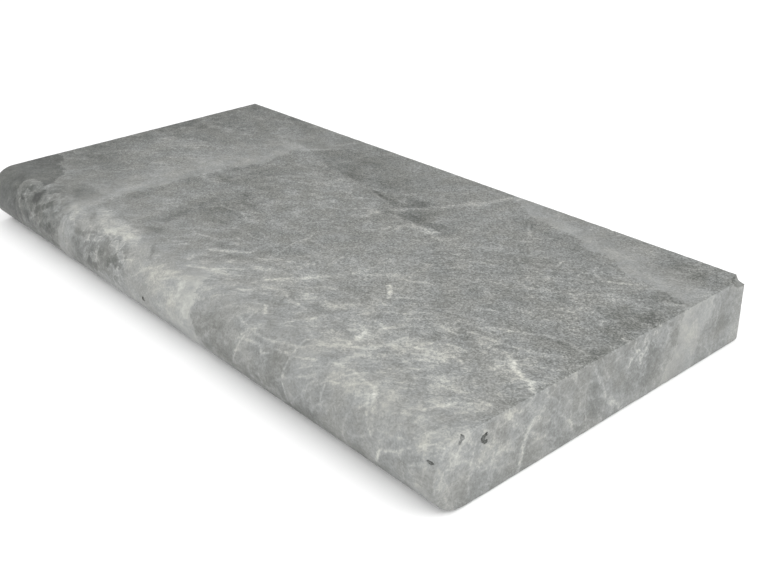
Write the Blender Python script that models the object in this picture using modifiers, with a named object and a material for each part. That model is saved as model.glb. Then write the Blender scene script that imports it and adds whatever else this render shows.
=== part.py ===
"""Grey marble coping slab: a sawn rectangular block with one long edge turned to a full bullnose.

Metres, +Z up. The origin is the middle of the underside, +X runs along the length,
and the rounded nose faces -Y. The slab is one piece of stone, so it is one object.
"""

import math
import random

import bmesh
import bpy
from mathutils import Vector, noise

LENGTH = 0.6096
WIDTH = 0.3048
THICKNESS = 0.0508
NOSE_RADIUS = THICKNESS / 2
NOSE_STEPS = 32
WELD_DISTANCE = 0.00001

# The sawn arrises are rubbed down by hand to this radius.
ARRIS_RADIUS = 0.0012
ARRIS_SEGMENTS = 3
ARRIS_ANGLE = math.radians(60)

# One corner of the top is spalled off: its reach along the slab, across it and down.
SPALL_REACH = (0.0085, 0.0175, 0.0068)
SPALL_ROUGHNESS = 0.12

# Natural voids opened by the saw: where each lies, its half sizes, and its turn about +X.
END_X = LENGTH / 2
NOSE_Y = -WIDTH / 2
PITS = {
    "arris_void": ((END_X, NOSE_Y + 0.0220, 0.0490), (0.0022, 0.0016, 0.0024), 0),
    "hooked_void": ((END_X, NOSE_Y + 0.0400, 0.0402), (0.0021, 0.0020, 0.0036), -20),
    "nose_void": ((-0.0158, NOSE_Y + 0.0002, 0.0290), (0.0022, 0.0016, 0.0020), 0),
    "nose_end_void": ((END_X - 0.0060, NOSE_Y + 0.0050, 0.0398), (0.0040, 0.0015, 0.0013), 30),
}

# Small bites knocked out of the arrises in handling.
NICK_SEED = 11
NICKS_PER_LONG_ARRIS = 5
NICKS_PER_END_ARRIS = 4
NICK_RADIUS = (0.0022, 0.0042)
NICK_DEPTH = (0.0005, 0.0011)

STONE_GREY = (0.27, 0.275, 0.265, 1.0)
STONE_ROUGHNESS = 0.6


def clear_scene():
    """Remove whatever the scene holds."""
    for obj in list(bpy.data.objects):
        bpy.data.objects.remove(obj, do_unlink=True)


def new_collection(name):
    """Return a collection linked to the scene."""
    collection = bpy.data.collections.new(name)
    bpy.context.scene.collection.children.link(collection)
    return collection


def marble_material():
    """Return the plain grey stone material."""
    material = bpy.data.materials.new("marble")
    material.use_nodes = True
    shader = material.node_tree.nodes["Principled BSDF"]
    shader.inputs["Base Color"].default_value = STONE_GREY
    shader.inputs["Roughness"].default_value = STONE_ROUGHNESS
    shader.inputs["Metallic"].default_value = 0.0
    return material


def section_outline():
    """Return the cross-section as (y, z) points: the square back, then the half-round nose."""
    back = WIDTH / 2
    centre = NOSE_Y + NOSE_RADIUS
    points = [(back, 0.0), (back, THICKNESS)]
    for step in range(NOSE_STEPS + 1):
        turn = math.pi * step / NOSE_STEPS
        y = centre - NOSE_RADIUS * math.sin(turn)
        z = NOSE_RADIUS + NOSE_RADIUS * math.cos(turn)
        points.append((y, z))
    return points


def slab_blank(collection, material):
    """Return the sawn block: the cross-section as a filled flat curve, extruded along X."""
    curve = bpy.data.curves.new("section", "CURVE")
    curve.dimensions = "2D"
    curve.fill_mode = "BOTH"
    curve.extrude = LENGTH / 2
    outline = section_outline()
    spline = curve.splines.new("POLY")
    spline.points.add(len(outline) - 1)
    for point, (y, z) in zip(spline.points, outline):
        point.co = (y, z, 0.0, 1.0)
    spline.use_cyclic_u = True

    guide = bpy.data.objects.new("section", curve)
    guide.rotation_euler = (math.pi / 2, 0.0, math.pi / 2)
    bpy.context.scene.collection.objects.link(guide)
    bpy.context.view_layer.update()
    evaluated = guide.evaluated_get(bpy.context.evaluated_depsgraph_get())
    mesh = bpy.data.meshes.new_from_object(evaluated)
    mesh.transform(guide.matrix_world)
    bpy.data.objects.remove(guide, do_unlink=True)

    shape = bmesh.new()
    shape.from_mesh(mesh)
    bmesh.ops.remove_doubles(shape, verts=shape.verts, dist=WELD_DISTANCE)
    bmesh.ops.dissolve_limit(
        shape, angle_limit=math.radians(1), verts=shape.verts, edges=shape.edges
    )
    bmesh.ops.recalc_face_normals(shape, faces=shape.faces)
    shape.to_mesh(mesh)
    shape.free()

    slab = bpy.data.objects.new("slab", mesh)
    mesh.name = "slab"
    mesh.materials.clear()
    mesh.materials.append(material)
    collection.objects.link(slab)
    return slab


def ease_arrises(slab):
    """Round every sawn edge a little, and leave the smooth run of the nose alone."""
    bevel = slab.modifiers.new("eased arrises", "BEVEL")
    bevel.width = ARRIS_RADIUS
    bevel.segments = ARRIS_SEGMENTS
    bevel.limit_method = "ANGLE"
    bevel.angle_limit = ARRIS_ANGLE


def pebble_cutter(name, place, half_sizes, turn_x, roughness, collection, subdivisions=2):
    """Add a rough pebble that cuts a hollow: an icosphere whose points are moved in and out."""
    shape = bmesh.new()
    bmesh.ops.create_icosphere(shape, subdivisions=subdivisions, radius=1.0)
    offset = Vector(place) * 100
    for vertex in shape.verts:
        vertex.co *= 1.0 + roughness * noise.noise(vertex.co * 1.7 + offset)
        vertex.co *= Vector(half_sizes)
    mesh = bpy.data.meshes.new(name)
    shape.to_mesh(mesh)
    shape.free()
    cutter = bpy.data.objects.new(name, mesh)
    cutter.location = place
    cutter.rotation_euler = (math.radians(turn_x), 0.0, 0.0)
    cutter.hide_render = True
    cutter.display_type = "WIRE"
    collection.objects.link(cutter)


def arris_lines():
    """Return the arrises that take nicks: (start, end, outward direction, number of nicks)."""
    back, top = WIDTH / 2, THICKNESS
    nose_top = NOSE_Y + NOSE_RADIUS
    margin = 0.03
    long_ends = (-END_X + margin, END_X - margin)
    lines = []
    for z, rise in ((top, 1), (0.0, -1)):
        start = Vector((long_ends[0], back, z))
        end = Vector((long_ends[1], back, z))
        lines.append((start, end, Vector((0, 1, rise)), NICKS_PER_LONG_ARRIS))
        for x, side in ((END_X, 1), (-END_X, -1)):
            start = Vector((x, nose_top + margin, z))
            end = Vector((x, back - margin, z))
            lines.append((start, end, Vector((side, 0, rise)), NICKS_PER_END_ARRIS))
    return lines


def add_nick_cutters(collection):
    """Place a small pebble cutter just outside each arris, so that it takes a shallow bite."""
    draw = random.Random(NICK_SEED)
    number = 0
    for start, end, outward, count in arris_lines():
        for turn in range(count):
            share = (turn + draw.uniform(0.15, 0.85)) / count
            radius = draw.uniform(*NICK_RADIUS)
            depth = draw.uniform(*NICK_DEPTH)
            place = start.lerp(end, share) + outward.normalized() * (radius - depth)
            number += 1
            sizes = (radius, radius, radius)
            pebble_cutter(f"nick_{number:02d}", place, sizes, 0, 0.25, collection)


def add_void_cutters(collection):
    """Place a pebble cutter for each natural void."""
    for name, (place, half_sizes, turn_x) in PITS.items():
        pebble_cutter(name, place, half_sizes, turn_x, 0.35, collection)


def add_spall_cutter(collection):
    """Place the cutter that breaks the back right corner off the top."""
    corner = (END_X + 0.0006, WIDTH / 2 + 0.0006, THICKNESS + 0.0006)
    pebble_cutter("corner_spall", corner, SPALL_REACH, 0, SPALL_ROUGHNESS, collection, 3)


def cut_away(slab, cutters):
    """Take every cutter away from the slab in one Boolean."""
    cut = slab.modifiers.new("voids, nicks and spall", "BOOLEAN")
    cut.operation = "DIFFERENCE"
    cut.solver = "EXACT"
    cut.operand_type = "COLLECTION"
    cut.collection = cutters


def shade(slab):
    """Shade the nose smooth and keep the sawn edges crisp."""
    slab.data.shade_smooth()
    slab.data.set_sharp_from_angle(angle=math.radians(35))


def main():
    clear_scene()
    stone = new_collection("marble_coping_slab")
    cutters = new_collection("cutters")
    slab = slab_blank(stone, marble_material())
    ease_arrises(slab)
    add_void_cutters(cutters)
    add_spall_cutter(cutters)
    add_nick_cutters(cutters)
    cut_away(slab, cutters)
    shade(slab)


main()
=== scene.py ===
"""Dresses the marble coping slab: its worn surface, its veined stone and the studio round it.

Meshes are in metres. The stone's markings are laid out in millimetres on the slab's skin, unrolled
flat: x runs from the left end, y from where the nose's tip would be, and the nose, the back and
the two ends fold out from the top (see unrolled_skin).
"""

import itertools
import json
import math
import random

import bmesh
import bpy
import numpy as np
from mathutils import Matrix, Vector


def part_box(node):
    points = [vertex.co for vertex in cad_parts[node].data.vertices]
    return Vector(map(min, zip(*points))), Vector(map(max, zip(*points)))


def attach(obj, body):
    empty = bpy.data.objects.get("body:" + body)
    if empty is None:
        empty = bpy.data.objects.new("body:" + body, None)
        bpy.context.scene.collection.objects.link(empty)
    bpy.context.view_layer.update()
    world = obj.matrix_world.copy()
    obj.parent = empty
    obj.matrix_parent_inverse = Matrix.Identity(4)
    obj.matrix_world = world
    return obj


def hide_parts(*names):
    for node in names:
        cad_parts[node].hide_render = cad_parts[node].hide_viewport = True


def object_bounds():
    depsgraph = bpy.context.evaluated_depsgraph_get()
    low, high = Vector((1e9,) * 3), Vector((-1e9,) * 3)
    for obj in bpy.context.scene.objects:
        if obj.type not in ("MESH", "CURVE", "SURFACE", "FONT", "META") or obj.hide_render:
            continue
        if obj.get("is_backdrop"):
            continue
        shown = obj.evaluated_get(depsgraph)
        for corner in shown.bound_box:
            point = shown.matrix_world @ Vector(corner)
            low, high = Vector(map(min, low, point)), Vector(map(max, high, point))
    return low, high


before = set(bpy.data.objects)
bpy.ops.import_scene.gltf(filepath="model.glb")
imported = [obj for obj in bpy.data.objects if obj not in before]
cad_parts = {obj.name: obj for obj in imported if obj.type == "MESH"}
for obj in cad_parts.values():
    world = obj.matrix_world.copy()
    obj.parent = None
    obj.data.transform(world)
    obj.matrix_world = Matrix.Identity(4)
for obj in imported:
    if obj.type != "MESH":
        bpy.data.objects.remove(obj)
cad_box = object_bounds()

# The slab's size in metres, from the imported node, and what the unrolled skin needs of it in mm.
LOW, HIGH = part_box("slab")
LENGTH = HIGH.x - LOW.x
WIDTH = HIGH.y - LOW.y
THICKNESS = HIGH.z - LOW.z
NOSE_RADIUS = THICKNESS / 2
NOSE_CENTRE_Y = LOW.y + NOSE_RADIUS
ARRIS_RADIUS = 0.0012
MM = 1000.0
LENGTH_MM, WIDTH_MM, THICKNESS_MM, RADIUS_MM = LENGTH * MM, WIDTH * MM, THICKNESS * MM, NOSE_RADIUS * MM

# How finely the surface is divided.
ROW_STEPS = 118
NOSE_STEPS = 34
BACK_STEPS = 18
ARRIS_STEPS = 4
BODY_STEPS = 252
CAP_STEPS = 14
# The side of a noise's lattice, and the angle from which an edge is shaded sharp.
LATTICE_SIDE = 48
SHARP_ANGLE = math.radians(38)

# Wear, in metres: the size of each unevenness, how far it sinks, and its seed.
BRUSHED_RELIEF = ((0.0090, 0.00016, 21), (0.0040, 0.00012, 22))
HONED_RELIEF = ((0.0450, 0.00010, 31),)
ARRIS_WEAR = ((0.0110, 0.00045, 41), (0.0040, 0.00030, 42))

# Natural voids opened by the saw, each a rough pebble: place, half sizes, turn about +X.
VOIDS = [
    # At the top arris of the right end.
    ((HIGH.x, LOW.y + 0.0228, 0.0491), (0.0022, 0.0018, 0.0020), 0),
    # The hook on the right end, open towards the back.
    ((HIGH.x, LOW.y + 0.0392, 0.0401), (0.0024, 0.0018, 0.0026), 0),
    # Near the middle of the nose, and high on the nose by the right end.
    ((-0.0148, LOW.y + 0.0003, 0.0229), (0.0022, 0.0014, 0.0020), 0),
    ((HIGH.x - 0.0054, LOW.y + 0.0041, 0.0386), (0.0029, 0.0012, 0.0010), 30),
]
# Lobes that widen the first two: the tail of one, and both ends of the hook.
LOBES = [
    ((HIGH.x, LOW.y + 0.0212, 0.0468), (0.0014, 0.0011, 0.0015), -30),
    ((HIGH.x, LOW.y + 0.0413, 0.0421), (0.0020, 0.0018, 0.0014), 0),
    ((HIGH.x, LOW.y + 0.0412, 0.0375), (0.0020, 0.0020, 0.0014), 0),
]
# The corner spalled off the top, in the same terms.
SPALL = ((HIGH.x + 0.0006, HIGH.y + 0.0006, HIGH.z + 0.0006), (0.0085, 0.0175, 0.0068), 0)
VOID_SEED, LOBE_SEED, SPALL_SEED, NICK_SHAPE_SEED = 60, 70, 80, 100
VOID_ROUGHNESS, SPALL_ROUGHNESS, NICK_ROUGHNESS = 0.30, 0.10, 0.22
# The bumps on a pebble of radius 1: their size and share of the roughness.
PEBBLE_BUMPS = ((0.75, 1.0), (0.34, 0.5))
# Nicks in the arrises: each lies in this part of its own stretch of arris, clear of the ends.
NICK_SEED = 11
NICK_STRETCH = (0.15, 0.85)
NICKS_PER_LONG_ARRIS = 5
NICKS_PER_END_ARRIS = 4
NICK_RADIUS = (0.0022, 0.0042)
NICK_DEPTH = (0.0005, 0.0011)
NICK_MARGIN = 0.03

# The stone's grey on honed faces, in 8-bit levels, before any marking, and how it shifts elsewhere.
WHITE_LEVEL = 255.0
BASE_LEVEL = 148.0
# The top's shift is partly its brushed finish and partly painted shade, keeping the top darker than the end
# that faces the light.
TOP_FINISH_AND_SHADE_SHIFT = -18.0
SAWN_SHIFT = 3.0
BROKEN_SHIFT = -14.0
# The voids' insides are darkened as dirt and as painted shade in the hollows.
VOID_DIRT_AND_SHADE_SHIFT = -36.0

# Which material each sheet of the skin has: the top, the nose, the back, the underside, the right
# end and the left end. Broken faces and the voids' insides, darkened as dirt and painted shade, have the
# last two.
SHEET_MATERIALS = np.array([0, 1, 2, 2, 1, 1])
BROKEN = 3
VOID_DIRT_AND_SHADE = 4

# The bedding's line on the top, in degrees from the slab's length, a second direction that lies in
# the beds, and how far patterns are drawn out along the line, down the dip and across the beds.
BEDDING_STRIKE = 36
BEDDING_FALL = (0.0, 0.6, -0.8)
BEDDING_DRAW = (4.2, 2.6, 1.0)
SEAM_DRAW = (2.0, 1.7, 1.0)

# Where the brushing sets in, in mm behind the nose's top line: from, to, and its edge's raggedness.
BRUSH_FROM, BRUSH_TO, BRUSH_RAGGED = -10.0, 26.0, 10.0
# How far behind that line the grain stands out fully, in mm, and its share at the line.
GRAIN_FULL, GRAIN_LEAST = 110.0, 0.35
# Roughness of honed stone, and what raw, grained and sawn stone and the grain's swing add to it.
HONED_ROUGHNESS, RAW_ROUGHNESS, GRAINED_ROUGHNESS, SAWN_ROUGHNESS = 0.50, 0.20, 0.14, 0.22
ROUGHNESS_SWING = 0.35
# Fine relief: its depth in metres, and the shares of it for honed grain, the top's and saw lines.
RELIEF_DEPTH = 0.0004
HONED_RELIEF_SHARE, GRAINED_RELIEF_SHARE, SAW_LINES_SHARE = 0.12, 0.85, 0.35
SAW_LINES_SCALE = (0.012, 0.8, 0.8)

# Noise that shifts the patches on the skin: its size and reach in mm, and the first of two seeds.
PATCH_WANDER = ((28.0, 4.5, 1), (11.0, 2.6, 3), (5.0, 1.5, 5))
# Noise that is added to the broad tone: its swing in grey levels, its size in mm and its seed.
TONE_SWING, TONE_SIZE, TONE_SEED = 3.0, 60.0, 8

# Broad patches of tone on the unrolled skin, most of them the stone's own and a few painted shade, as
# marked
# below: the centre's x and y, the two half sizes, the turn in degrees, the change in grey levels, and the
# share of the radius over which the patch fades out.
PATCHES = [
    # The left end and the dark corner by the nose.
    (0, 80, 90, 60, 0, -8, 0.9), (20, 270, 60, 50, 0, -5, 0.9), (60, 220, 120, 110, 0, -4, 0.8),
    (25, 110, 36, 90, 0, -6, 0.8), (20, 230, 50, 60, 0, -5, 0.8), (225, 165, 40, 150, 0, -5, 0.8),
    (110, 30, 34, 22, 0, -6, 0.8), (20, 0, 50, 36, 0, -10, 0.7), (130, 18, 34, 18, 0, -7, 0.8),
    (130, 300, 190, 52, 0, -9, 0.8), (0, 150, 42, 170, 0, -7, 0.9), (80, 76, 90, 42, 0, -9, 0.8),
    (230, 100, 40, 60, 0, -6, 0.9), (385, 95, 40, 60, 0, 8, 0.9), (40, 260, 140, 90, 0, -9, 0.9),
    (20, 110, 60, 60, 0, -8, 0.9), (0, 190, 42, 130, 0, -16, 1.0), (30, 210, 12, 12, 0, -12, 0.8),
    (88, 295, 28, 8, -12, -24, 0.6), (15, 300, 24, 10, -10, -18, 0.8), (60, 240, 40, 16, 10, -8, 0.9),
    (45, 190, 50, 10, 20, -8, 0.9), (60, 92, 60, 12, -6, -10, 0.9), (122, 39, 28, 15, 0, -24, 0.7),
    (122, 8, 20, 14, 0, -10, 0.7), (8, 175, 16, 6, -10, -10, 0.8), (72, 195, 20, 5, 8, -9, 0.8),
    (40, 270, 40, 14, 10, 8, 0.9), (60, 172, 40, 14, 10, 8, 0.9), (160, 253, 30, 14, 10, 14, 0.8),
    (95, 272, 44, 16, -12, 7, 0.9), (155, 195, 18, 6, 4, 9, 0.8), (125, 160, 34, 14, 10, 6, 0.9),
    # Between the pale band and the middle of the top.
    (180, 285, 30, 34, 0, -4, 0.9), (185, 180, 36, 60, 0, -12, 0.9), (158, 76, 10, 26, -6, -20, 0.7),
    (162, 124, 18, 12, -20, -14, 0.8), (178, 150, 26, 6, -6, -14, 0.7), (225, 139, 30, 6, -22, -16, 0.7),
    (250, 130, 18, 6, -6, -18, 0.7), (161, 166, 6, 14, 0, -12, 0.8), (222, 70, 9, 24, 12, -24, 0.8),
    (236, 44, 12, 7, 10, -22, 0.8), (225, 100, 60, 24, 0, -10, 0.9), (190, 78, 22, 20, 0, 8, 0.8),
    # The dark clouds at the back.
    (240, 270, 54, 36, 10, -6, 0.9), (250, 238, 50, 8, -4, -9, 0.7), (342, 233, 14, 10, 0, -9, 0.6),
    (374, 210, 30, 8, 0, -6, 0.5), (366, 219, 22, 13, 0, -8, 0.7), (312, 228, 22, 6, 0, -12, 0.6),
    (346, 235, 16, 12, 0, -12, 0.6), (330, 230, 150, 32, 0, -6, 0.9), (223, 165, 20, 12, 0, -12, 0.9),
    (250, 212, 26, 14, 20, 10, 0.9), (310, 260, 24, 10, -10, -8, 0.9), (245, 172, 12, 5, 10, 8, 0.8),
    (334, 196, 6, 8, 0, 9, 0.8),
    # The right of the top.
    (600, 205, 18, 13, 0, -22, 0.8), (585, 238, 12, 12, 0, -12, 0.8), (452, 262, 34, 12, -8, -9, 0.8),
    (498, 254, 18, 10, -10, -9, 0.8), (515, 211, 14, 7, 0, -9, 0.8), (500, 160, 34, 8, 10, -6, 0.9),
    (606, 142, 9, 14, 0, -24, 0.7), (583, 138, 26, 5, -2, -20, 0.8), (536, 101, 18, 6, -4, -20, 0.8),
    (514, 85, 16, 6, 35, -18, 0.8), (595, 180, 26, 50, 0, -8, 1.0), (510, 205, 60, 40, 0, -3, 1.0),
    (436, 58, 10, 6, 20, -16, 0.8), (449, 69, 9, 5, 0, -12, 0.8), (572, 288, 34, 14, -14, -13, 0.8),
    (480, 280, 86, 8, -12, 7, 0.7), (560, 257, 24, 8, -16, 8, 0.8), (438, 128, 14, 7, 20, 10, 0.8),
    (440, 130, 60, 40, 20, 5, 0.9), (250, 32, 70, 24, 0, -4, 0.8), (450, 30, 80, 24, 0, -4, 0.8),
    (590, 205, 26, 40, 0, -6, 0.8), (560, 185, 60, 45, 0, -5, 0.8), (580, 286, 50, 20, 0, -9, 0.8),
    (575, 62, 30, 30, 0, 4, 0.8), (588, 128, 26, 16, 0, -6, 0.8), (590, 275, 30, 30, 0, -4, 0.8),
    (441, 156, 7, 7, 0, 9, 0.8), (420, 130, 40, 20, 30, 4, 1.0), (440, 170, 60, 14, 20, -5, 1.0),
    # The paler front of the top.
    (520, 58, 150, 62, 8, 16, 0.9), (330, 40, 90, 44, 6, 10, 0.9), (208, 27, 56, 13, -6, 24, 0.5),
    (318, 8, 46, 17, 0, 8, 0.6), (480, 70, 190, 115, 8, 9, 0.9), (240, 18, 70, 26, 0, 8, 0.8),
    (530, 14, 44, 13, 0, 6, 0.8), (606, 14, 26, 26, 0, 14, 0.8), (322, 58, 12, 6, 20, -18, 0.8),
    (302, 67, 9, 9, 0, -18, 0.8), (304, 97, 12, 6, -30, -14, 0.8), (484, 53, 7, 10, 0, 16, 0.8),
    # Streaks along and across the bedding.
    (392, 78, 28, 5, 56, 11, 0.7), (330, 72, 38, 5, 16, 9, 0.7), (346, 62, 40, 4, 24, 8, 0.7),
    (388, 46, 24, 4, 18, 8, 0.7), (420, 62, 30, 4, 30, 8, 0.7), (451, 60, 18, 4, 62, 9, 0.7),
    (492, 38, 28, 5, 52, 8, 0.7), (512, 64, 17, 4, 50, 9, 0.7), (547, 20, 14, 5, 55, 8, 0.7),
    (585, 44, 20, 5, 55, 9, 0.7), (470, 88, 32, 4, 28, 8, 0.7), (530, 118, 44, 4, 20, 7, 0.7),
    (560, 84, 34, 5, 24, 8, 0.7), (290, 186, 50, 4, 14, 7, 0.7), (285, 66, 34, 4, 20, 7, 0.7),
    (268, 92, 34, 5, 16, -8, 0.7), (352, 100, 28, 6, 10, -8, 0.7), (436, 92, 24, 5, 34, -8, 0.7),
    (405, 36, 30, 4, 22, -7, 0.7), (465, 64, 14, 5, 60, -8, 0.7), (530, 48, 22, 5, 48, -8, 0.7),
    (508, 84, 20, 5, 40, -8, 0.7), (560, 108, 22, 4, 24, -8, 0.7),
    # The nose. The long thin strips low on it, at y -24 to -34, are painted shade where it turns down away
    # from the light.
    (88, 10, 8, 8, 0, -26, 0.35), (62, 9, 26, 18, 0, -18, 0.7), (58, -2, 16, 26, 0, -10, 0.7),
    (175, -2, 26, 12, 0, -9, 0.7), (40, -20, 60, 34, 0, -12, 0.8), (125, -14, 17, 12, 0, -30, 0.6),
    (75, -4, 44, 30, 0, -8, 0.9), (160, 0, 24, 34, 0, 6, 0.8), (222, -2, 48, 22, 0, -4, 0.7),
    (274, 20, 14, 5, -20, -16, 0.8), (322, -2, 46, 30, 0, 2, 0.5), (96, -14, 72, 62, 0, -42, 0.9),
    (178, -20, 36, 24, 0, -24, 0.8), (280, -8, 28, 36, 0, 5, 0.9), (330, 24, 32, 11, 0, -10, 0.8),
    (455, 0, 64, 42, 0, -13, 0.9), (500, -30, 130, 13, 0, -15, 0.8), (420, -24, 70, 18, 0, -5, 0.8),
    (440, -28, 180, 12, 0, -6, 0.7), (425, 8, 60, 16, 0, -5, 0.8), (322, 16, 30, 13, 0, -8, 0.8),
    (60, 18, 80, 12, 0, -7, 0.7), (60, 32, 90, 26, 0, -5, 0.8), (328, -10, 40, 17, 0, 11, 0.7),
    (395, -14, 30, 13, 0, -8, 0.8), (448, -14, 26, 12, 0, -11, 0.7), (130, -12, 14, 14, 0, -12, 0.7),
    (205, -12, 44, 15, 0, -9, 0.8), (178, 2, 24, 12, 0, -7, 0.8), (78, -2, 26, 11, 0, 9, 0.8),
    # Painted shade: (305, -34) runs along the nose's whole lower edge.
    (305, -34, 340, 12, 0, -3, 0.5), (20, 8, 40, 50, 0, -6, 0.8), (125, 20, 24, 14, 0, -6, 0.8),
    (275, 8, 28, 28, 0, 8, 0.8), (385, -22, 34, 18, 0, -6, 0.7), (550, -28, 50, 14, 0, -8, 0.7),
    (222, -5, 40, 24, 0, -5, 0.8), (388, -10, 28, 20, 0, -20, 0.7), (515, 8, 38, 15, 0, 4, 0.8),
    (470, -24, 120, 15, 0, -16, 0.9), (440, 14, 26, 5, 6, 10, 0.8),
    # The right end. The narrow band at (618, 190) is painted shade on the end's upper part, where light
    # from above brightens it.
    (645, 150, 60, 220, 0, -6, 0.5), (630, 20, 40, 50, 0, 16, 0.9), (620, 46, 18, 18, 0, -12, 0.8),
    (630, 137, 32, 17, 0, -12, 0.8), (630, 198, 32, 19, 0, -11, 0.8), (622, 228, 22, 14, 0, -5, 0.8),
    (625, 286, 34, 30, 0, -14, 0.8), (648, 35, 20, 34, 0, -6, 0.9), (648, 185, 22, 24, 0, -2, 0.8),
    (612, 127, 10, 10, 0, -10, 0.9), (648, 140, 18, 14, 0, -8, 0.9), (640, 299, 40, 7, 0, 3, 0.5),
    (618, 190, 10, 120, 0, -4, 0.6), (630, 122, 30, 20, 0, 4, 0.8), (652, 150, 10, 60, 0, -4, 0.8),
    (614, 283, 10, 22, 0, 4, 0.9),
]

# Contacts, where one tone of stone meets another along a sharp, ragged line: the change in levels
# on its left-hand side, the width over which that fades, and the points of the line. They come in
# two layers, so that a contact in one may end against a contact in the other.
CONTACT_LAYERS = [
    [
        (16, 70, (144, 20), (146, 40), (148, 60), (150, 85), (152, 101), (150, 118), (153, 130),
         (154, 141), (157, 154), (151, 166), (151, 176), (166, 179), (164, 188), (172, 196), (166, 210),
         (166, 222), (158, 238), (171, 249), (180, 261), (188, 271)),
        (19, 46, (386, 306), (400, 294), (413, 288), (429, 281), (447, 279), (461, 276), (480, 274),
         (494, 266), (505, 262), (517, 264), (529, 259), (543, 250), (558, 247), (571, 248), (584, 244),
         (600, 239), (612, 233), (624, 228), (632, 226), (645, 220), (661, 210)),
        (25, 50, (366, -36), (364, -20), (361, -8), (354, 2), (348, 16)),
        (19, 28, (143, 8), (142, -6), (143, -20), (146, -38)),
        (8, 26, (470, 12), (471, 0), (470, -12), (474, -30)),
    ],
    [
        (-17, 80, (180, 249), (200, 245), (209, 241), (221, 236), (236, 236), (257, 231), (286, 231),
         (300, 237)),
        (-27, 22, (296, 226), (309, 219), (322, 217), (332, 215), (343, 218), (356, 228)),
        (-26, 19, (340, 201), (350, 204), (366, 203), (376, 202), (387, 206), (397, 205)),
        (-42, 400, (50, -54), (58, -30), (56, -10), (48, 8), (47, 19), (56, 26), (76, 23), (75, 31),
         (66, 42), (59, 49), (46, 55), (30, 57), (21, 68), (-4, 70), (-12, 62), (-20, 51), (-30, 46),
         (-38, 32), (-54, 20)),
        (13, 30, (661, 249), (650, 250), (640, 252), (630, 262), (620, 265), (611, 266)),
    ],
]

# How much standing squarely beside a run counts where two runs of a contact are as near.
BESIDE_WEIGHT = 0.001

# Where the pale wisps, the curled threads, the rubble of healed fragments and the seams show: as
# the patches above, with a strength in place of the change.
WISP_PATCHES = [
    (520, 60, 170, 80, 8, 0.28, 0.7), (330, 50, 100, 60, 6, 0.45, 0.8), (300, 190, 150, 70, 8, 0.3, 0.9),
    (80, 190, 120, 130, 0, 0.2, 0.9), (635, 60, 40, 80, 0, 0.1, 0.7),
]
THREAD_PATCHES = [
    (530, 190, 130, 75, 0, 1.0, 0.7), (425, 180, 60, 60, 0, 0.5, 0.9), (560, 70, 90, 70, 0, 0.4, 0.8),
    (620, 195, 26, 40, 0, 0.9, 0.7), (590, 292, 50, 20, 0, 0.8, 0.8),
]
RUBBLE_PATCHES = [
    (220, -2, 52, 26, 0, 1.0, 0.4), (95, 0, 56, 36, 0, 0.7, 0.4), (160, 0, 26, 36, 0, 0.3, 0.6),
    (345, -4, 50, 34, 0, 0.4, 0.8), (455, -16, 40, 22, 0, 0.3, 0.8), (588, -16, 28, 26, 0, 0.35, 0.8),
    (634, 192, 26, 28, 0, 0.4, 0.6),
]
SEAM_PATCHES = [
    (636, 90, 60, 120, 0, 0.8, 0.4), (636, 270, 60, 60, 0, 0.3, 0.8), (480, -14, 170, 38, 0, 0.7, 0.6),
    (-30, 150, 60, 260, 0, 0.8, 0.3),
]

# How far past its half width a mark fades out, and how far outside its sheet a mark still counts.
MARK_SPREAD = 1.5
MARK_MARGIN = 5.0

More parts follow.
